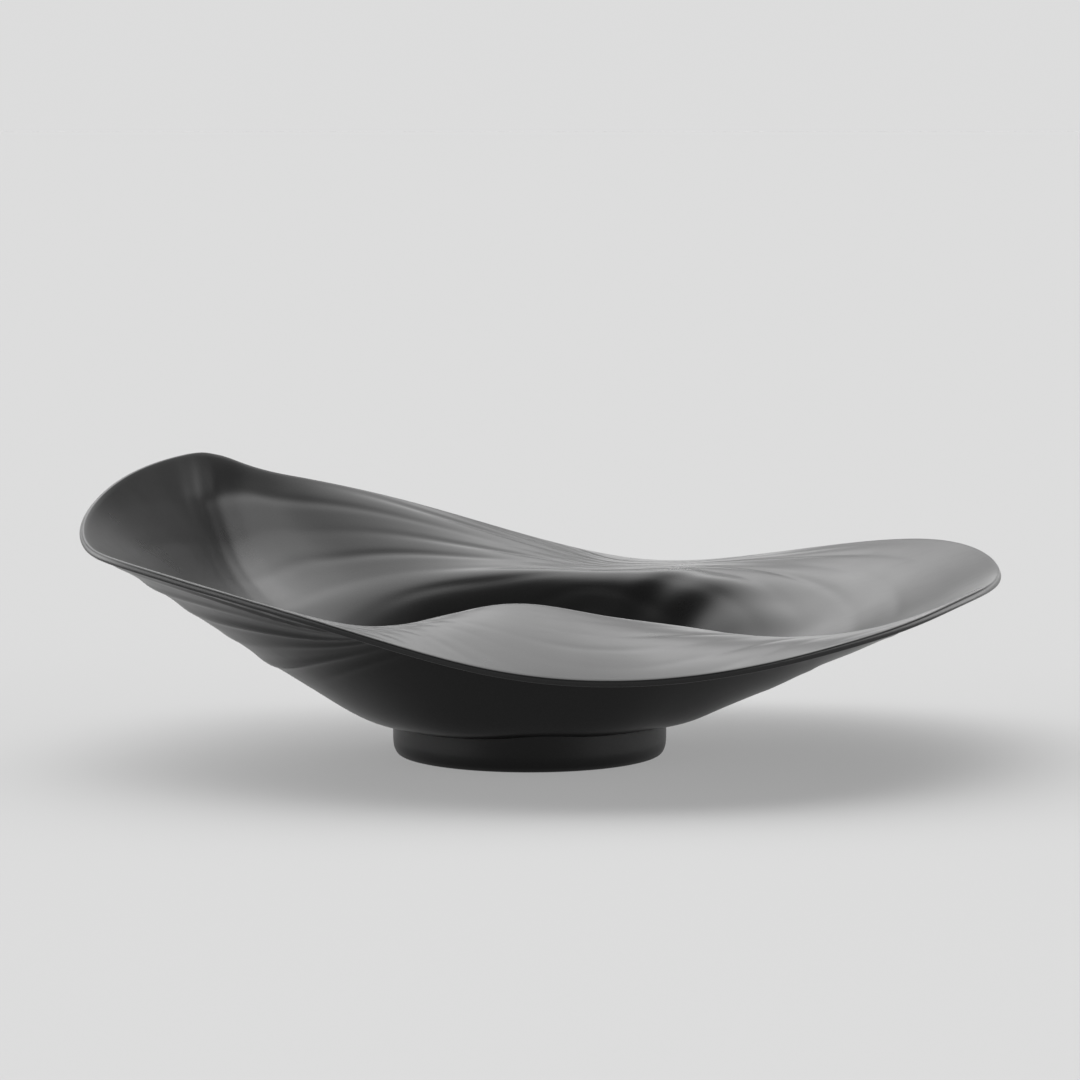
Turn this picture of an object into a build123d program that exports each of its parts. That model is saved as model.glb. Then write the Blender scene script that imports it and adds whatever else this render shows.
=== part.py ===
"""Free-form footed bowl: a thin black shell with a wavy saddle-shaped brim, on a round foot ring.

Millimetres. +X runs along the bowl's length to its low right-hand tip, +Y to its far side,
+Z up. The origin is on the ground, at the middle of the foot ring.
"""
import os

import numpy as np
from build123d import *

# ---- driving dimensions ----
WALL = 3.4  # thickness of the shell everywhere, square to its surface
FLOOR_HEIGHT = 19.0  # inside floor of the well, above the ground
FLOOR_BLEND = 16.0  # softness of the turn from the floor up into the well's wall
LIP_BLEND = 16.0  # softness of the crest where the well's wall turns over into the flange
WALL_RISE = 0.02  # how fast the wall's line steepens beyond the lip, to stay above the flange

FOOT_RADIUS = 65.0
FOOT_WALL = 8.0
FOOT_BASE_RADIUS = 61.3  # where the foot's outside meets the ground
FOOT_CURVE_HEIGHT = 7.5  # above this the foot's outside is upright
FOOT_BLANK_HEIGHT = 18.6  # before the shell is cut out of it; just below the inside floor
FOOT_INNER_ROUND = 1.5  # inner lower edge of the foot

# The brim's upper edge, counter-clockwise in plan from the right-hand tip: x, y, height.
BRIM = [
    (224, 12, 85.0),
    (204, 108, 90.5),
    (139, 156, 80.5),
    (78, 163, 73.5),
    (15, 161, 82.5),
    (-67, 154, 106.5),
    (-118, 151, 118.5),
    (-141, 150, 124.5),
    (-154, 147, 130.0),
    (-164, 139, 133.0),
    (-172, 125, 133.0),
    (-183, 100, 131.5),
    (-202, 43, 124.5),
    (-210, -18, 110.0),
    (-204, -47, 104.0),
    (-187, -77, 100.5),
    (-148, -110, 93.0),
    (-102, -138, 83.0),
    (-57, -154, 71.0),
    (-13, -164, 61.0),
    (53, -164, 57.3),
    (102, -152, 62.5),
    (138, -133, 69.0),
    (168, -108, 75.0),
    (198, -66, 81.5),
]

# The lip of the well: where its wall meets the flange that runs on to the brim.
# direction in degrees, reach from the centre, height, slope of the wall below the lip,
# slope of the flange at the lip, slope of the flange at the brim (rise over run).
LIP = [
    (0, 115, 37.5, 0.46, 0.34, 0.45),
    (20, 122, 47, 0.70, 0.34, 0.42),
    (42, 126, 71, 1.25, 0.10, 0.25),
    (65, 105, 75, 1.55, 0.05, -0.05),
    (95, 98, 75, 1.85, 0.10, 0.15),
    (120, 108, 69, 1.40, 0.30, 0.55),
    (143, 120, 58, 1.00, 0.35, 1.15),
    (165, 122, 53, 0.76, 0.50, 1.35),
    (185, 122, 50.5, 0.69, 0.50, 0.62),
    (205, 122, 53.5, 0.78, 0.43, 0.30),
    (232, 120, 66, 1.10, 0.30, 0.20),
    (262, 100, 84, 2.00, -0.15, -0.40),
    (290, 98, 78, 1.90, -0.15, -0.40),
    (320, 115, 66, 1.10, 0.00, 0.05),
    (342, 120, 47, 0.68, 0.27, 0.42),
]

# Rings that the shell is drawn through. The first is a circle on the flat floor. Some hug the
# turn at the foot of the well's wall, some the lip, and the rest share out the wall and flange.
FLOOR_CIRCLE = 38.0
TURN_OFFSETS = (-10.0, -5.0, 0.0, 5.0, 10.0)
LIP_OFFSETS = (-9.0, -5.0, -2.0, 1.0, 4.0, 8.0)
WALL_SHARES = (1 / 3, 2 / 3)
FLANGE_SHARES = (1 / 7, 2 / 7, 3 / 7, 4 / 7, 5 / 7, 6 / 7, 1.0)
RING_POINTS = 64


def round_spline(directions, values):
    """A smooth closed curve of a value against direction (degrees), as a function of radians."""
    a = np.radians(np.asarray(directions, float))
    v = np.asarray(values, float)
    n = len(a)
    gap = np.diff(np.append(a, a[0] + 2 * np.pi))
    system = np.zeros((n, n))
    right = np.zeros(n)
    for i in range(n):
        before, after = gap[i - 1], gap[i]
        system[i, i - 1] += before
        system[i, i] += 2 * (before + after)
        system[i, (i + 1) % n] += after
        right[i] = 6 * ((v[(i + 1) % n] - v[i]) / after - (v[i] - v[i - 1]) / before)
    bend = np.linalg.solve(system, right)

    def at(angle):
        turned = (np.asarray(angle, float) - a[0]) % (2 * np.pi)
        i = np.clip(np.searchsorted(a - a[0], turned, side="right") - 1, 0, n - 1)
        j = (i + 1) % n
        h = gap[i]
        u = turned - (a[i] - a[0])
        w = h - u
        return (
            (bend[i] * w**3 + bend[j] * u**3) / (6 * h)
            + (v[i] / h - bend[i] * h / 6) * w
            + (v[j] / h - bend[j] * h / 6) * u
        )

    return at


def soft_min(a, b, blend):
    """The lower of two heights; where they differ by less than blend, the corner is rounded."""
    near = np.maximum(blend - np.abs(a - b), 0) / blend
    return np.minimum(a, b) - near**3 * blend / 6


def soft_max(a, b, blend):
    return -soft_min(-a, -b, blend)


brim_x, brim_y, brim_z = np.array(BRIM, float).T
brim_direction = np.degrees(np.arctan2(brim_y, brim_x)) % 360
order = np.argsort(brim_direction)
brim_reach = round_spline(brim_direction[order], np.hypot(brim_x, brim_y)[order])
brim_height = round_spline(brim_direction[order], brim_z[order])
lip_direction, *lip_columns = np.array(LIP, float).T
lip_laws = [round_spline(lip_direction, column) for column in lip_columns]


def bowl_height(x, y):
    """Height of the shell's upper face: floor, well wall and flange, blended into one sheet."""
    r = np.hypot(x, y)
    angle = np.arctan2(y, x)
    reach, height = brim_reach(angle), brim_height(angle)
    lip_reach, lip_height, wall_slope, lip_slope, brim_slope = [law(angle) for law in lip_laws]
    run = reach - lip_reach
    u = (r - lip_reach) / run
    flange = (
        (2 * u**3 - 3 * u**2 + 1) * lip_height
        + (u**3 - 2 * u**2 + u) * run * lip_slope
        + (3 * u**2 - 2 * u**3) * height
        + (u**3 - u**2) * run * brim_slope
    )
    flange = np.where(u < 0, lip_height + lip_slope * (r - lip_reach), flange)
    flange = np.where(u > 1, height + brim_slope * (r - reach), flange)
    past = np.maximum(r - lip_reach, 0)
    wall = lip_height + wall_slope * (r - lip_reach) + WALL_RISE * past**2
    return soft_max(FLOOR_HEIGHT + 0 * r, soft_min(wall, flange, LIP_BLEND), FLOOR_BLEND)


def sheet_point(angle, r):
    """Points on the shell's upper face and, square to it, on its under face."""
    x, y = r * np.cos(angle), r * np.sin(angle)
    step = 0.5
    slope_x = (bowl_height(x + step, y) - bowl_height(x - step, y)) / (2 * step)
    slope_y = (bowl_height(x, y + step) - bowl_height(x, y - step)) / (2 * step)
    normal = np.stack([-slope_x, -slope_y, np.ones_like(x)], -1)
    normal /= np.linalg.norm(normal, axis=-1, keepdims=True)
    top = np.stack([x, y, bowl_height(x, y)], -1)
    return top, top - WALL * normal


def ring_wire(points):
    even = list(np.linspace(0, 1, len(points) + 1))
    spline = Edge.make_spline([Vector(*p) for p in points], periodic=True, parameters=even)
    return Wire([spline])


def ring_radii(angle):
    """Radius of every ring, from the floor circle out to the brim, at the given directions."""
    lip, lip_height, wall_slope = [law(angle) for law in lip_laws[:3]]
    turn = lip - (lip_height - FLOOR_HEIGHT) / wall_slope
    wall_start, wall_end = turn + TURN_OFFSETS[-1], lip + LIP_OFFSETS[0]
    flange_start = lip + LIP_OFFSETS[-1]
    radii = [FLOOR_CIRCLE + 0 * angle]
    radii += [turn + offset for offset in TURN_OFFSETS]
    radii += [wall_start + share * (wall_end - wall_start) for share in WALL_SHARES]
    radii += [lip + offset for offset in LIP_OFFSETS]
    radii += [flange_start + share * (brim_reach(angle) - flange_start) for share in FLANGE_SHARES]
    return radii


def make_bowl_shell():
    angle = np.linspace(0, 2 * np.pi, RING_POINTS, endpoint=False)
    rings = [sheet_point(angle, r) for r in ring_radii(angle)]
    top_rings = [ring_wire(top) for top, under in rings]
    under_rings = [ring_wire(under) for top, under in rings]
    section = under_rings + top_rings[::-1]
    return Solid.make_loft(section, ruled=True)


def make_foot_ring(shell):
    """A turned ring whose top is cut to the shell's underside, so the two meet all round."""
    inner = FOOT_RADIUS - FOOT_WALL
    outline = [
        Line((inner, 0, 0), (FOOT_BASE_RADIUS, 0, 0)),
        Spline(
            (FOOT_BASE_RADIUS, 0, 0),
            (FOOT_RADIUS, 0, FOOT_CURVE_HEIGHT),
            tangents=[(0.75, 0, 0.66), (0, 0, 1)],
        ),
        Line((FOOT_RADIUS, 0, FOOT_CURVE_HEIGHT), (FOOT_RADIUS, 0, FOOT_BLANK_HEIGHT)),
        Line((FOOT_RADIUS, 0, FOOT_BLANK_HEIGHT), (inner, 0, FOOT_BLANK_HEIGHT)),
        Line((inner, 0, FOOT_BLANK_HEIGHT), (inner, 0, 0)),
    ]
    section = make_face(outline)
    inner_corner = section.vertices().group_by(Axis.Z)[0].sort_by(Axis.X)[0]
    blank = revolve(fillet(inner_corner, FOOT_INNER_ROUND), Axis.Z)
    return blank - shell


if __name__ == "__main__":
    os.makedirs("parts", exist_ok=True)
    bowl_shell = make_bowl_shell()
    foot_ring = make_foot_ring(bowl_shell)
    export_step(bowl_shell, "parts/bowl_shell.step")
    export_step(foot_ring, "parts/foot_ring.step")
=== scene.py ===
# %% [markdown]
# # A wavy black serving bowl on a foot ring
# The bowl is one thin sheet, the same thickness all over. It has a small flat floor, a steep well,
# and a flange that spreads into two wings and droops at the front. Its brim rises to a pointed
# corner at the back left and to a round tip at the right. Shallow folds, like those of a draped
# cloth, run round the wings and pinch together at the front and at the back.
#
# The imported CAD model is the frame. It gives the sizes, and everything made here fits onto it.

# %% Load the frame
import math

import bpy
import numpy as np
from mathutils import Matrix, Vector


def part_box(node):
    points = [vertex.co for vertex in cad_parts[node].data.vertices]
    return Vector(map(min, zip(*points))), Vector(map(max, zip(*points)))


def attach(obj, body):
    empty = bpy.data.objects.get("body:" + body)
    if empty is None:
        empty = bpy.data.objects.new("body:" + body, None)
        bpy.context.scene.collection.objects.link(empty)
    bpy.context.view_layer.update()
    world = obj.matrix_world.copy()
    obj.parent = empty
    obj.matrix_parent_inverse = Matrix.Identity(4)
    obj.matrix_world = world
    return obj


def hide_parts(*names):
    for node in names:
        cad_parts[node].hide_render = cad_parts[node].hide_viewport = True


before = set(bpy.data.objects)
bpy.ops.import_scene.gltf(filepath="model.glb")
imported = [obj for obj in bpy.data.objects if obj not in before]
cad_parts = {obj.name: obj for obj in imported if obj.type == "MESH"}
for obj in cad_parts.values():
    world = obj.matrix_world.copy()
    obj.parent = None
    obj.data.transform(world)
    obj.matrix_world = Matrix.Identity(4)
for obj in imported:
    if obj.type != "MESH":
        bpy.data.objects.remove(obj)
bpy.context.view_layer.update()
shell_low, shell_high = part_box("bowl_shell")
foot_low, foot_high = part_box("foot_ring")

# %% [markdown]
# ## The brim and the lip
# Two closed curves carry the whole shape. The brim is the outer edge, given as points in space.
# The lip is the crest where the well's wall turns over into the flange. A sheet like this could be
# pulled into shape by hand, point by point. A short list of places with a smooth curve through
# them is easier to read, and one number can be changed without spoiling the rest. Both lists are
# in millimetres, with the ground's origin at the middle of the foot.

# %% The brim's upper edge
MM = 0.001  # one drawn millimetre, in metres

# counter-clockwise in plan from the right-hand tip: x, y, height
BRIM = [
    (224, 12, 85.0),
    (204, 108, 90.5),
    (139, 156, 80.5),
    (78, 163, 73.5),
    (15, 161, 82.5),
    (-67, 154, 106.5),
    (-118, 151, 118.5),
    (-141, 150, 124.5),
    (-154, 147, 130.0),
    (-164, 139, 133.0),
    (-172, 125, 133.0),
    (-183, 100, 131.5),
    (-202, 43, 124.5),
    (-210, -18, 110.0),
    (-204, -47, 104.0),
    (-187, -77, 100.5),
    (-148, -110, 93.0),
    (-102, -138, 83.0),
    (-57, -154, 71.0),
    (-13, -164, 61.0),
    (53, -164, 57.3),
    (102, -152, 62.5),
    (138, -133, 69.0),
    (168, -108, 75.0),
    (198, -66, 81.5),
]
brim_x, brim_y, brim_z = np.array(BRIM, float).T
print(len(BRIM), "points round the brim, from", brim_z.min(), "to", brim_z.max(), "mm high")

# %% The lip of the well
# direction in degrees, reach, height, slope of the wall, of the flange at the lip, at the brim
LIP = [
    (0, 115, 37.5, 0.46, 0.34, 0.45),
    (20, 122, 47, 0.70, 0.34, 0.42),
    (42, 126, 71, 1.25, 0.10, 0.25),
    (65, 105, 75, 1.55, 0.05, -0.05),
    (95, 98, 75, 1.85, 0.10, 0.15),
    (120, 108, 69, 1.40, 0.30, 0.55),
    (143, 120, 58, 1.00, 0.35, 1.15),
    (165, 122, 53, 0.76, 0.50, 1.35),
    (185, 122, 50.5, 0.69, 0.50, 0.62),
    (205, 122, 53.5, 0.78, 0.43, 0.30),
    (232, 120, 66, 1.10, 0.30, 0.20),
    (262, 100, 84, 2.00, -0.15, -0.40),
    (290, 98, 78, 1.90, -0.15, -0.40),
    (320, 115, 66, 1.10, 0.00, 0.05),
    (342, 120, 47, 0.68, 0.27, 0.42),
]
lip_direction, *lip_columns = np.array(LIP, float).T
print(len(LIP), "rows round the lip")

# %% Thickness and soft corners, in millimetres
WALL = 3.4  # thickness of the sheet
FLOOR_HEIGHT = 19.0  # inside floor of the well, above the ground
FLOOR_BLEND = 16.0  # softness of the turn from the floor up into the wall
LIP_BLEND = 16.0  # softness of the crest where the wall turns over into the flange
WALL_RISE = 0.02  # how fast the wall's line steepens beyond the lip, to stay above the flange
print("the sheet is", WALL, "mm thick and its inside floor is", FLOOR_HEIGHT, "mm up")

# %% [markdown]
# ## Smooth closed curves
# Each column of the two lists becomes a curve of that value against direction. A periodic cubic
# spline goes through every value, bends evenly, and has no start or end where a seam could show.

# %% A spline that closes on itself
def round_spline(directions, values):
    """A smooth closed curve of a value against direction (degrees), as a function of radians."""
    a = np.radians(np.asarray(directions, float))
    v = np.asarray(values, float)
    n = len(a)
    gap = np.diff(np.append(a, a[0] + 2 * np.pi))
    system = np.zeros((n, n))
    right = np.zeros(n)
    for i in range(n):
        before, after = gap[i - 1], gap[i]
        system[i, i - 1] += before
        system[i, i] += 2 * (before + after)
        system[i, (i + 1) % n] += after
        right[i] = 6 * ((v[(i + 1) % n] - v[i]) / after - (v[i] - v[i - 1]) / before)
    bend = np.linalg.solve(system, right)

    def at(angle):
        turned = (np.asarray(angle, float) - a[0]) % (2 * np.pi)
        i = np.clip(np.searchsorted(a - a[0], turned, side="right") - 1, 0, n - 1)
        j = (i + 1) % n
        h = gap[i]
        u = turned - (a[i] - a[0])
        w = h - u
        return (
            (bend[i] * w**3 + bend[j] * u**3) / (6 * h)
            + (v[i] / h - bend[i] * h / 6) * w
            + (v[j] / h - bend[j] * h / 6) * u
        )

    return at


halfway = round_spline([0, 90, 180, 270], [0, 1, 0, 1])(math.pi / 4)
print("a curve through 0, 1, 0, 1 is at", round(float(halfway), 2), "halfway to the first 1")

# %% Curves through the brim and the lip
brim_direction = np.degrees(np.arctan2(brim_y, brim_x)) % 360
order = np.argsort(brim_direction)
brim_reach = round_spline(brim_direction[order], np.hypot(brim_x, brim_y)[order])
brim_height = round_spline(brim_direction[order], brim_z[order])
lip_laws = [round_spline(lip_direction, column) for column in lip_columns]

around = np.linspace(0, 2 * np.pi, 720, endpoint=False)
drawn_x = brim_reach(around) * np.cos(around)
shell_length = (shell_high[0] - shell_low[0]) / MM
print("the brim is", round(np.ptp(drawn_x), 1), "mm long, the CAD shell", round(shell_length, 1))

# %% [markdown]
# ## The sheet's height
# At any place the sheet is the floor, the wall or the flange. Taking the lower of wall and flange
# gives the crest at the lip, and the higher of that and the floor gives the turn at the bottom.
# A soft minimum rounds both corners, as a pressed or slumped sheet would be.

# %% Floor, wall and flange as one smooth height
def soft_min(a, b, blend):
    """The lower of two heights; where they differ by less than blend, the corner is rounded."""
    near = np.maximum(blend - np.abs(a - b), 0) / blend
    return np.minimum(a, b) - near**3 * blend / 6


def soft_max(a, b, blend):
    return -soft_min(-a, -b, blend)


def bowl_height(x, y):
    r = np.hypot(x, y)
    angle = np.arctan2(y, x)
    reach, height = brim_reach(angle), brim_height(angle)
    lip_reach, lip_height, wall_slope, lip_slope, brim_slope = [law(angle) for law in lip_laws]
    run = reach - lip_reach
    u = (r - lip_reach) / run
    flange = (
        (2 * u**3 - 3 * u**2 + 1) * lip_height
        + (u**3 - 2 * u**2 + u) * run * lip_slope
        + (3 * u**2 - 2 * u**3) * height
        + (u**3 - u**2) * run * brim_slope
    )
    flange = np.where(u < 0, lip_height + lip_slope * (r - lip_reach), flange)
    flange = np.where(u > 1, height + brim_slope * (r - reach), flange)
    past = np.maximum(r - lip_reach, 0)
    wall = lip_height + wall_slope * (r - lip_reach) + WALL_RISE * past**2
    return soft_max(FLOOR_HEIGHT + 0 * r, soft_min(wall, flange, LIP_BLEND), FLOOR_BLEND)


print("height over the centre:", round(float(bowl_height(0.0, 0.0)), 1), "mm")

# %% [markdown]
# ## The folds round the wings
# The folds follow the brim round the wings. Where the sheet is pinched, at the back and at the
# two ends of the front flange, they run together and die out. They could be sculpted one by one,
# but they all behave alike. So a fold's place is a share of the way from the lip to the brim,
# divided by how far the folds are spread in that direction. The wave has narrow ridges on the
# underside and broad soft valleys between them, which is how thin sheet gathers.

# %% Spread and strength of the folds
# direction in degrees, how far the folds are spread (1 is all the way to the brim), strength
FOLDS = [
    (10, 0.95, 0.35),
    (35, 0.95, 0.4),
    (55, 0.70, 0.5),
    (70, 0.40, 0.55),
    (84, 0.60, 0.55),
    (110, 0.85, 0.45),
    (135, 1.00, 0.18),
    (160, 1.05, 0.1),
    (180, 1.05, 0.2),
    (200, 1.00, 0.85),
    (222, 0.85, 1.05),
    (245, 0.50, 0.5),
    (262, 0.80, 0.05),
    (280, 1.00, 0.12),
    (300, 0.90, 0.25),
    (322, 0.70, 0.35),
    (345, 0.90, 0.3),
]
fold_direction, *fold_columns = np.array(FOLDS, float).T
fold_laws = [round_spline(fold_direction, column) for column in fold_columns]
print(len(FOLDS), "rows for the folds, greatest strength", fold_columns[1].max())

# %% The shape of one fold
FOLD_SHARPNESS = 1.6  # near 0 the fold is a plain wave


def ease(value, start, end):
    """0 before start, 1 after end, and a smooth S between them."""
    s = np.clip((value - start) / (end - start), 0, 1)
    return s * s * (3 - 2 * s)


def fold_wave(turns):
    """Narrow ridges and broad valleys, of mean 0 and height 2 from ridge to valley."""
    peak = np.exp(FOLD_SHARPNESS * np.cos(2 * np.pi * turns))
    mean = np.i0(FOLD_SHARPNESS)
    return (peak - mean) / np.sinh(FOLD_SHARPNESS)


print("one wave runs from", round(fold_wave(0.5), 2), "to", round(fold_wave(0.0), 2))

# %% The folds' height over the smooth sheet
FOLD_COUNT = 4.8  # folds between the lip and the brim
FOLD_HEIGHT = 0.8  # millimetres, at strength and spread 1
FOLD_START = (-0.35, 0.1)  # shares of the way from lip to brim over which the folds appear
FOLD_END = (0.85, 1.02)  # and over which they fade again
WANDERS = ((0.18, 3, 1.0), (0.12, 7, 2.2))  # depth, waves round the bowl, where they begin
UNEVEN = 0.4  # some folds are deeper than others by this share
UNEVEN_STEP = 2.6  # how quickly that changes from fold to fold
UNEVEN_WAVES = 4  # and how often round the bowl


def flange_share(r, angle):
    """0 at the lip, 1 at the brim."""
    lip_reach = lip_laws[0](angle)
    return (r - lip_reach) / (brim_reach(angle) - lip_reach)


def fold_height(x, y):
    angle = np.arctan2(y, x)
    share = flange_share(np.hypot(x, y), angle)
    spread, strength = [law(angle) for law in fold_laws]
    wander = sum(depth * np.sin(waves * angle + begin) for depth, waves, begin in WANDERS)
    turns = FOLD_COUNT * share / spread + wander
    window = ease(share, *FOLD_START) * (1 - ease(share, *FOLD_END))
    uneven = 1 - UNEVEN + UNEVEN * np.sin(UNEVEN_STEP * turns + UNEVEN_WAVES * angle)
    return -FOLD_HEIGHT * strength * spread * window * uneven * fold_wave(turns)


grid_x, grid_y = np.meshgrid(np.linspace(-180, 180, 181), np.linspace(-130, 130, 131))
measured = fold_height(grid_x, grid_y)
print("the folds run from", round(measured.min(), 1), "to", round(measured.max(), 1), "mm")

# %% [markdown]
# ## The crease below the corner
# A sheet drawn up to a point sinks into a valley below it. The valley here starts at the pointed
# corner, swings round a little on its way down, and dies out before the lip. A bell curve across
# it gives soft sides, and a faint ripple keeps them from looking machined.

# %% The crease's height over the smooth sheet
CREASE_BRIM = 138.0  # direction where the crease meets the brim, in degrees
CREASE_TURN = 20.0  # how far it has swung round by the lip, in degrees
CREASE_DEPTH = 5.0
CREASE_WIDTH = 28.0
CREASE_RIPPLE = 0.2
RIPPLE_SPACING = 14.0
CREASE_START = (0.1, 0.6)  # shares of the way from lip to brim over which the crease deepens
CREASE_EASE = (0.8, 1.0)  # and over which it grows shallow again
CREASE_EASED = 0.65  # share of the depth given up by the brim


def crease_height(x, y):
    r = np.hypot(x, y)
    angle = np.degrees(np.arctan2(y, x)) % 360
    share = flange_share(r, np.radians(angle))
    across = np.radians(angle - CREASE_BRIM - CREASE_TURN * (1 - share)) * r
    window = ease(share, *CREASE_START) * (1 - CREASE_EASED * ease(share, *CREASE_EASE))
    valley = np.exp(-((across / CREASE_WIDTH) ** 2))
    ripple = CREASE_RIPPLE * np.cos(2 * np.pi * across / RIPPLE_SPACING)
    return -window * valley * (CREASE_DEPTH + ripple)


print("the crease is", round(-crease_height(grid_x, grid_y).min(), 1), "mm at its deepest")

# %% [markdown]
# ## The folds inside the well
# On the well's right-hand wall, towards the back, three soft folds run down in an S. They are
# lower than the folds of the wings and only show as streaks of light, so a plain wave will do.

# %% The well folds' height over the smooth sheet
WELL_FOLD_STEP = 15.0  # degrees from one fold to the next
WELL_FOLD_HEIGHT = 0.4
WELL_FOLD_SWAY = 0.45  # how far each fold sways sideways, as a share of the step
WELL_FOLD_BENDS = 7  # how tightly it sways on its way down
WELL_FOLD_NEAR = (6, 22)  # directions, in degrees, over which the folds appear
WELL_FOLD_FAR = (50, 68)  # and over which they fade
WELL_FOLD_FOOT = (-0.55, -0.25)  # shares below the lip over which they appear
WELL_FOLD_HEAD = (0.05, 0.4)  # and past the lip over which they fade


def well_fold_height(x, y):
    angle = np.degrees(np.arctan2(y, x))
    share = flange_share(np.hypot(x, y), np.radians(angle))
    turns = angle / WELL_FOLD_STEP + WELL_FOLD_SWAY * np.sin(WELL_FOLD_BENDS * share)
    across = ease(angle, *WELL_FOLD_NEAR) * (1 - ease(angle, *WELL_FOLD_FAR))
    along = ease(share, *WELL_FOLD_FOOT) * (1 - ease(share, *WELL_FOLD_HEAD))
    return WELL_FOLD_HEIGHT * across * along * np.cos(2 * np.pi * turns)


measured = well_fold_height(grid_x, grid_y)
print("the well folds run from", round(measured.min(), 1), "to", round(measured.max(), 1), "mm")

# %% [markdown]
# ## The shell's mesh
# The sheet is drawn as rings from the floor out to the brim, then round the brim's edge, then back
# under to the floor. Both faces move with the folds along the smooth sheet's own normal, so the
# wall keeps its thickness and never folds through itself. A solidify modifier would give the
# thickness too, but not the small rounds at the edge, top and bottom. A moulded edge is never
# sharp, and the rounds catch the light.

# %% Rings over the sheet, round its edge and back
DIRECTIONS = 400  # points in each ring
FACE_RINGS = 108  # rings on each face
FLOOR_RING = 40.0  # radius of the first one
EDGE_ROUND = 1.1
EDGE_STEPS = 4
SLOPE_STEP = 0.4  # half the distance over which the sheet's slope is measured


def sheet_frame(angle, r):
    """Place, normal and outward direction of the smooth sheet at a direction and radius."""
    x, y = r * np.cos(angle), r * np.sin(angle)
    slope_x = (bowl_height(x + SLOPE_STEP, y) - bowl_height(x - SLOPE_STEP, y)) / (2 * SLOPE_STEP)
    slope_y = (bowl_height(x, y + SLOPE_STEP) - bowl_height(x, y - SLOPE_STEP)) / (2 * SLOPE_STEP)
    normal = np.stack([-slope_x, -slope_y, np.ones_like(x)], -1)
    normal /= np.linalg.norm(normal, axis=-1, keepdims=True)
    outward = np.stack([np.cos(angle), np.sin(angle), np.zeros_like(angle)], -1)
    outward -= normal * np.sum(outward * normal, -1, keepdims=True)
    outward /= np.linalg.norm(outward, axis=-1, keepdims=True)
    return np.stack([x, y, bowl_height(x, y)], -1), normal, outward


def shell_rings():
    angle = np.linspace(0, 2 * np.pi, DIRECTIONS, endpoint=False)
    end = brim_reach(angle) - EDGE_ROUND
    top, under, edge = [], [], []
    for share in np.linspace(0, 1, FACE_RINGS):
        place, normal, outward = sheet_frame(angle, FLOOR_RING + share * (end - FLOOR_RING))
        x, y = place[:, 0], place[:, 1]
        lift = fold_height(x, y) + crease_height(x, y) + well_fold_height(x, y)
        face = place + lift[:, None] * normal
        top.append(face)
        under.append(face - WALL * normal)
    for corner in ("upper", "lower"):
        for k in range(1, EDGE_STEPS + 1):
            turn = 0.5 * np.pi * k / EDGE_STEPS
            out, down = EDGE_ROUND * np.sin(turn), EDGE_ROUND * (1 - np.cos(turn))
            if corner == "lower":
                out, down = EDGE_ROUND * np.cos(turn), WALL - EDGE_ROUND * (1 - np.sin(turn))
            edge.append(face + out * outward - down * normal)
    # the edge's last ring is the underside's first
    return top + edge[:-1] + under[::-1]


rings = shell_rings()
print(len(rings), "rings of", DIRECTIONS, "points")

# %% Join the rings into the shell
def mesh_object(name, points, faces):
    mesh = bpy.data.meshes.new(name)
    mesh.from_pydata([tuple(p) for p in points], [], faces)
    mesh.validate()
    mesh.shade_smooth()
    piece = bpy.data.objects.new(name, mesh)
    bpy.context.scene.collection.objects.link(piece)
    return piece


def closed_rings(name, rings, caps=(), joined=False):
    """Quads between neighbouring rings, with a fan at each end where there are caps.

    If joined, the last ring is joined to the first instead.
    """
    count = len(rings[0])
    points = np.concatenate(rings)
    pairs = [(k, k + 1) for k in range(len(rings) - 1)]
    if joined:
        pairs.append((len(rings) - 1, 0))
    faces = []
    for near, far in pairs:
        for i in range(count):
            j = (i + 1) % count
            faces.append((near * count + i, far * count + i, far * count + j, near * count + j))
    for k, height in enumerate(caps):
        points = np.vstack([points, (0, 0, height)])
        start = 0 if k == 0 else (len(rings) - 1) * count
        for i in range(count):
            ends = (start + i, start + (i + 1) % count)
            faces.append((len(points) - 1, *(ends if k == 0 else ends[::-1])))
    return mesh_object(name, points * MM, faces)


shell = closed_rings("bowl_sheet", rings, caps=(FLOOR_HEIGHT, FLOOR_HEIGHT - WALL))
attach(shell, "root")
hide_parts("bowl_shell")
print("shell:", len(rings), "rings,", len(shell.data.polygons), "faces")

# %% [markdown]
# ## The foot ring
# The foot is turned: one outline spun round the upright axis. Its outside is upright at the top
# and curves in towards the table. The inner lower edge has a small round. Its size comes from the
# CAD foot. Its flat top is out of sight inside the shell's sheet, so there is no gap at the joint.
# Close pairs of rings at each corner stop the smooth shading from bending over the whole foot.

# %% The foot's outline
FOOT_WALL = 8.0
FOOT_BASE_INSET = 3.7  # how far the outside has come in at the ground
FOOT_CURVE_HEIGHT = 7.5  # above this the outside is upright
FOOT_CURVE_FULLNESS = 0.8  # 1 is a quarter of an ellipse, and less is fuller
FOOT_CURVE_POINTS = 15
FOOT_INNER_ROUND = 1.5
FOOT_ROUND_POINTS = 7
CORNER_STEP = 0.3  # distance between the rings of a pair at a corner
UPRIGHT_STEP = 2.0  # and from the curve's end to the next ring
foot_radius = (foot_high[0] - foot_low[0]) / 2 / MM
foot_height = foot_high[2] / MM


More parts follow.
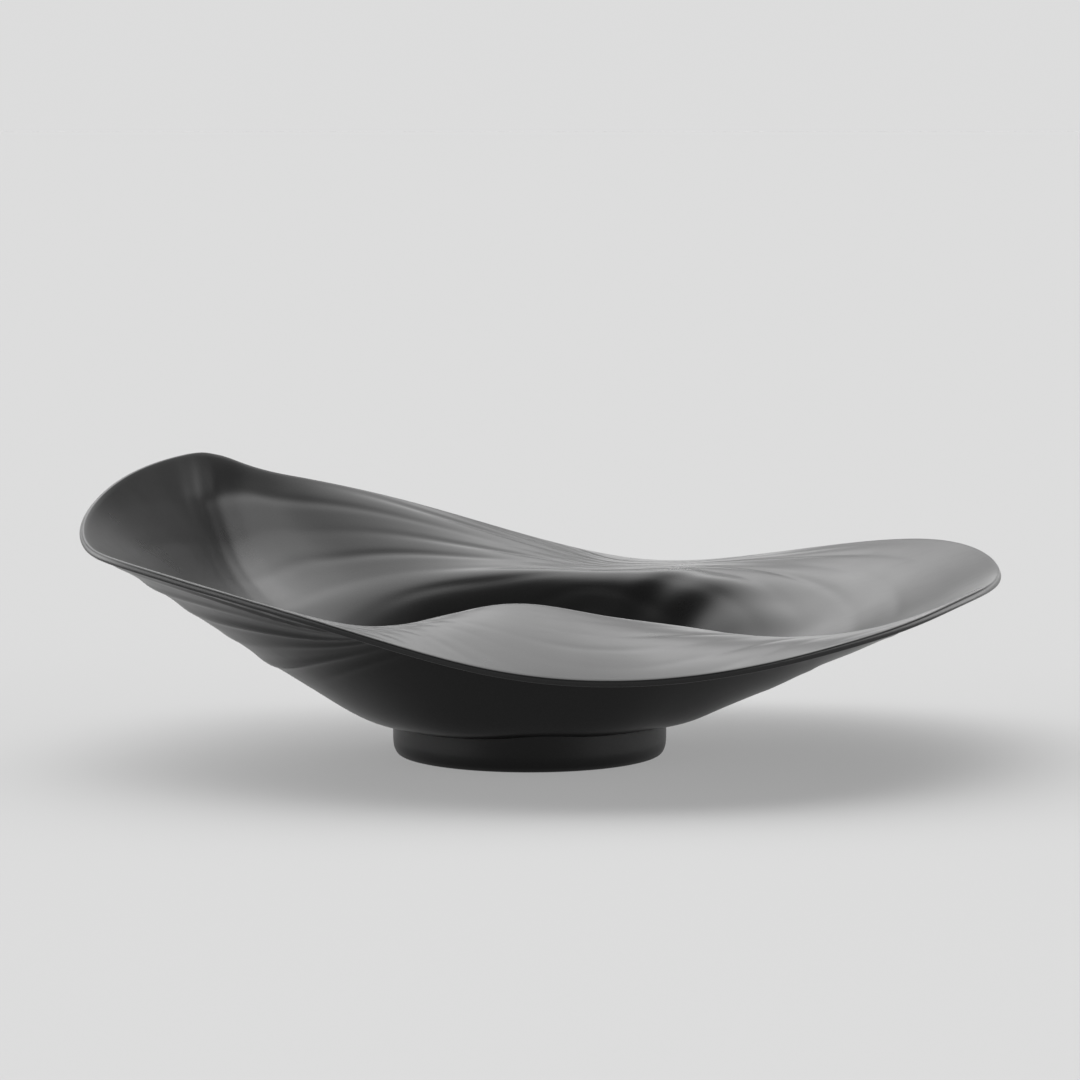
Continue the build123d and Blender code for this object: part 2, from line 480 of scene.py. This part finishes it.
def foot_outline():
    """Reach and height round the foot's section, from the inner top down and up the outside."""
    inner = foot_radius - FOOT_WALL
    base = foot_radius - FOOT_BASE_INSET
    outline = [(inner, foot_height), (inner, foot_height - CORNER_STEP)]
    for turn in np.radians(np.linspace(0, 90, FOOT_ROUND_POINTS)):
        round_in = FOOT_INNER_ROUND * (1 - math.cos(turn))
        outline.append((inner + round_in, FOOT_INNER_ROUND * (1 - math.sin(turn))))
    outline.append((base - CORNER_STEP, 0))
    for turn in np.radians(np.linspace(0, 90, FOOT_CURVE_POINTS)):
        inset = FOOT_BASE_INSET * (1 - math.sin(turn) ** FOOT_CURVE_FULLNESS)
        outline.append((foot_radius - inset, FOOT_CURVE_HEIGHT * (1 - math.cos(turn))))
    for height in (FOOT_CURVE_HEIGHT + UPRIGHT_STEP, foot_height - CORNER_STEP, foot_height):
        outline.append((foot_radius, height))
    outline.append((foot_radius - CORNER_STEP, foot_height))
    return outline + [(inner + CORNER_STEP, foot_height)]


print(len(foot_outline()), "points in the foot's outline")

# %% Spin the outline
FOOT_SEGMENTS = 192
spin = np.linspace(0, 2 * np.pi, FOOT_SEGMENTS, endpoint=False)
foot_rings = [
    np.stack([r * np.cos(spin), r * np.sin(spin), np.full_like(spin, z)], -1)
    for r, z in reversed(foot_outline())
]
foot = closed_rings("foot_turned", foot_rings, joined=True)
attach(foot, "root")
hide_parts("foot_ring")
print("foot: radius", round(foot_radius, 1), "mm, height", round(foot_height, 1), "mm")

# %% [markdown]
# ## The satin black
# The surface is black all through and satin, as moulded melamine or a matt glaze is. Nearly all
# that is seen is reflection, so the work is in the roughness and the bump. There are four layers.
# A very fine grain breaks up each reflection. Soft clouds make some places a little shinier, where
# hands and cloths have polished them. Thin, sparse wipe marks run across. Low down the foot is
# scuffed paler and rougher, because it is slid about on tables. A painted image could hold all
# this, but noise needs no unwrapping and has no seams.

# %% Helpers that add one node each
RAMP_SOCKETS = ("From Min", "From Max", "To Min", "To Max")


def noise(tree, place, scale, detail, stretch=(1, 1, 1)):
    stretched = tree.nodes.new("ShaderNodeMapping")
    stretched.inputs["Scale"].default_value = stretch
    tree.links.new(place, stretched.inputs["Vector"])
    texture = tree.nodes.new("ShaderNodeTexNoise")
    texture.inputs["Scale"].default_value = scale
    texture.inputs["Detail"].default_value = detail
    tree.links.new(stretched.outputs["Vector"], texture.inputs["Vector"])
    return texture.outputs["Fac"]


def ramp(tree, value, start, end, low, high, curve="LINEAR"):
    """From low to high as the value goes from start to end."""
    step = tree.nodes.new("ShaderNodeMapRange")
    step.interpolation_type = curve
    for socket, number in zip(RAMP_SOCKETS, (start, end, low, high)):
        step.inputs[socket].default_value = number
    tree.links.new(value, step.inputs["Value"])
    return step.outputs["Result"]


def combine(tree, operation, first, second):
    node = tree.nodes.new("ShaderNodeMath")
    node.operation = operation
    tree.links.new(first, node.inputs[0])
    tree.links.new(second, node.inputs[1])
    return node.outputs["Value"]


print("helpers ready: noise, ramp, combine")

# %% The layers of the satin black
GRAIN = (1400, 3)  # scale and detail
GRAIN_TONE = 0.3  # share by which the grain lightens and darkens the black
GRAIN_BUMP = 0.35
CLOUDS = (18, 4)
CLOUD_ROUGHNESS = 0.05
WIPES = (40, 6, (1, 9, 3))  # scale, detail and stretch
WIPE_ROUGHNESS = 0.04
NOISE_RANGE = (0.3, 0.7)  # nearly all of a noise lies between these
WIPE_RANGE = (0.55, 0.85)  # only its rare high places, so the marks are sparse
SCUFF_TOP = 0.0022  # metres above the table
SCUFF_ROUGHNESS = 0.18
SCUFF_TONE = 0.012


def satin_black(name, tone, roughness, index, grain_height):
    material = bpy.data.materials.new(name)
    material.use_nodes = True
    tree = material.node_tree
    skin = tree.nodes["Principled BSDF"]
    skin.inputs["IOR"].default_value = index
    place = tree.nodes.new("ShaderNodeTexCoord").outputs["Object"]
    height = tree.nodes.new("ShaderNodeSeparateXYZ")
    tree.links.new(place, height.inputs["Vector"])
    scuff = ramp(tree, height.outputs["Z"], 0, SCUFF_TOP, 1, 0)

    low, high = roughness - CLOUD_ROUGHNESS, roughness + CLOUD_ROUGHNESS
    clouds = ramp(tree, noise(tree, place, *CLOUDS), *NOISE_RANGE, low, high)
    wipes = ramp(tree, noise(tree, place, *WIPES), *WIPE_RANGE, 0, WIPE_ROUGHNESS)
    rough = combine(tree, "ADD", clouds, wipes)
    rough = combine(tree, "ADD", rough, ramp(tree, scuff, 0, 1, 0, SCUFF_ROUGHNESS))
    tree.links.new(rough, skin.inputs["Roughness"])

    grain = noise(tree, place, *GRAIN)
    low, high = tone * (1 - GRAIN_TONE), tone * (1 + GRAIN_TONE)
    shade = ramp(tree, grain, *NOISE_RANGE, low, high)
    shade = combine(tree, "ADD", shade, ramp(tree, scuff, 0, 1, 0, SCUFF_TONE))
    colour = tree.nodes.new("ShaderNodeCombineColor")
    for channel in ("Red", "Green", "Blue"):
        tree.links.new(shade, colour.inputs[channel])
    tree.links.new(colour.outputs["Color"], skin.inputs["Base Color"])

    bump = tree.nodes.new("ShaderNodeBump")
    bump.inputs["Strength"].default_value = GRAIN_BUMP
    bump.inputs["Distance"].default_value = grain_height
    tree.links.new(grain, bump.inputs["Height"])
    tree.links.new(bump.outputs["Normal"], skin.inputs["Normal"])
    print(name, "tone", tone, "roughness", roughness)
    return material


# %% Finish the shell and the foot
# tone, roughness, index of refraction, height of the grain in metres
SHELL_FINISH = (0.006, 0.31, 1.38, 0.00004)
# the foot's copy has a lower tone and a lower index than the shell's, so it is darker and mirrors
# less: painted shade
FOOT_FINISH_AND_PAINTED_SHADE = (0.004, 0.38, 1.3, 0.00003)
shell.data.materials.append(satin_black("satin_black_shell", *SHELL_FINISH))
foot.data.materials.append(satin_black("satin_black_foot_painted_shade", *FOOT_FINISH_AND_PAINTED_SHADE))

# %% [markdown]
# ## Floor
# A product studio stands a dark piece on a wide sheet of pale opal acrylic that glows a little
# from below, so its shadow stays light. The floor here is one large plane with that finish. It is
# matt all over. A glossy sheet would mirror the bright backdrop and be lighter far off than near.

# %% Opal floor
FLOOR_HALF = 30.0  # metres, so that the edge is out of sight
FLOOR_TONE = 0.262
FLOOR_ROUGHNESS = 0.6
FLOOR_GLOW = 0.275


def opal_floor():
    corners = ((-1, -1), (1, -1), (1, 1), (-1, 1))
    points = [(x * FLOOR_HALF, y * FLOOR_HALF, 0) for x, y in corners]
    sheet = mesh_object("floor_sheet", points, [(0, 1, 2, 3)])
    opal = bpy.data.materials.new("floor_acrylic")
    opal.use_nodes = True
    skin = opal.node_tree.nodes["Principled BSDF"]
    skin.inputs["Base Color"].default_value = (FLOOR_TONE, FLOOR_TONE, FLOOR_TONE, 1)
    skin.inputs["Roughness"].default_value = FLOOR_ROUGHNESS
    skin.inputs["Specular IOR Level"].default_value = 0.0
    skin.inputs["Emission Color"].default_value = (1, 1, 1, 1)
    skin.inputs["Emission Strength"].default_value = FLOOR_GLOW
    sheet.data.materials.append(opal)
    return sheet


floor = opal_floor()
print("floor:", 2 * FLOOR_HALF, "m across, tone", FLOOR_TONE, "and glow", FLOOR_GLOW)

# %% [markdown]
# ## Soft light from a dome
# A dark satin surface shows what stands round it, so lighting it is choosing what it mirrors.
# Lamps could be hung one by one. Here the studio is painted on the sky instead, infinitely far,
# so that the floor is lit evenly right out to the horizon. One very large soft light hangs above
# and behind the bowl. The horizon is pale, the sides are bright low down and the front is dim. A
# bright backdrop stands low behind the bowl and puts a pale line on the far brim.

# %% The empty sky
world = bpy.data.worlds.new("studio_dome")
world.use_nodes = True
sky = world.node_tree
ground = sky.nodes["Background"]
look = sky.nodes.new("ShaderNodeTexCoord")
split = sky.nodes.new("ShaderNodeSeparateXYZ")
sky.links.new(look.outputs["Generated"], split.inputs["Vector"])


def soft_step(value, start, end, low, high):
    return ramp(sky, value, start, end, low, high, curve="SMOOTHSTEP")


def limit(light, along, ends):
    """The light, let through only where the direction is past the fade."""
    return combine(sky, "MULTIPLY", light, soft_step(split.outputs[along], *ends, 0, 1))


print("sky:", world.name)

# %% The large soft light
LIGHT_DIRECTION = Vector((-0.22, 0.5, 0.84)).normalized()
LIGHT_CORE = math.cos(math.radians(14))  # full strength within this angle of the direction
LIGHT_EDGE = math.cos(math.radians(54))  # and nothing beyond this one
LIGHT_STRENGTH = 4.1
LIGHT_HEIGHT = (0.25, 0.6)  # Z over which it fades in, so that none of it lies low

towards = sky.nodes.new("ShaderNodeVectorMath")
towards.operation = "DOT_PRODUCT"
towards.inputs[1].default_value = LIGHT_DIRECTION
sky.links.new(look.outputs["Generated"], towards.inputs[0])
lamp = soft_step(towards.outputs["Value"], LIGHT_EDGE, LIGHT_CORE, 0, LIGHT_STRENGTH)
lamp = limit(lamp, "Z", LIGHT_HEIGHT)
print("large light: strength", LIGHT_STRENGTH)

# %% Horizon, front, sides and backdrop
# Each glow fades between two values of how far a direction points up (Z), back (Y) or sideways (X
# squared, so that left and right are alike).
HORIZON_GLOW = 0.72
CEILING_GLOW = 0.12
HORIZON_HEIGHT = (0.06, 0.3)
FRONT_GLOW = 0.25
FRONT_DEPTH = (-0.1, -0.6)
FRONT_HEIGHT = (0.6, 0.3)
SIDE_GLOW = 4.0
SIDE_WIDTH = (0.3, 0.75)
SIDE_HEIGHT = (0.5, 0.25)
BACK_GLOW = 1.4
BACK_DEPTH = (0.5, 0.9)
BACK_BOTTOM = (0.03, 0.1)
BACK_TOP = (0.34, 0.18)

horizon = soft_step(split.outputs["Z"], *HORIZON_HEIGHT, HORIZON_GLOW, CEILING_GLOW)
front = soft_step(split.outputs["Y"], *FRONT_DEPTH, 0, FRONT_GLOW)
front = limit(front, "Z", FRONT_HEIGHT)
width = combine(sky, "MULTIPLY", split.outputs["X"], split.outputs["X"])
side = limit(soft_step(width, *SIDE_WIDTH, 0, SIDE_GLOW), "Z", SIDE_HEIGHT)
back = soft_step(split.outputs["Y"], *BACK_DEPTH, 0, BACK_GLOW)
back = limit(limit(back, "Z", BACK_BOTTOM), "Z", BACK_TOP)
print("glows: horizon", HORIZON_GLOW, "front", FRONT_GLOW, "sides", SIDE_GLOW, "back", BACK_GLOW)

# %% Add the lights together
glow = horizon
for light in (lamp, front, side, back):
    glow = combine(sky, "ADD", glow, light)
sky.links.new(glow, ground.inputs["Strength"])
ground.inputs["Color"].default_value = (1, 1, 1, 1)
bpy.context.scene.world = world
print("dome made of", len(sky.nodes), "nodes")

# %% [markdown]
# ## Camera
# The camera stands two metres off with a long lens, as for a catalogue, so the wings keep their
# true proportions. It is a little above the bowl and looks slightly down. At this height the near
# flange hides most of the well, and the far wall shows behind it.

# %% Camera
CAMERA_PLACE = (0.004907, -1.978737, 0.313401)
CAMERA_TILT = 6.116  # degrees below level
CAMERA_LENS = 140
CAMERA_SENSOR = 36

eye = bpy.data.cameras.new("eye")
eye.sensor_width = CAMERA_SENSOR
eye.lens = CAMERA_LENS
camera = bpy.data.objects.new("eye", eye)
camera.location = CAMERA_PLACE
camera.rotation_euler = (math.radians(90 - CAMERA_TILT), 0, 0)
bpy.context.scene.collection.objects.link(camera)
bpy.context.scene.camera = camera
bpy.context.scene.view_settings.view_transform = "Standard"
print("camera", round(camera.location.length, 2), "m off, lens", CAMERA_LENS, "mm")
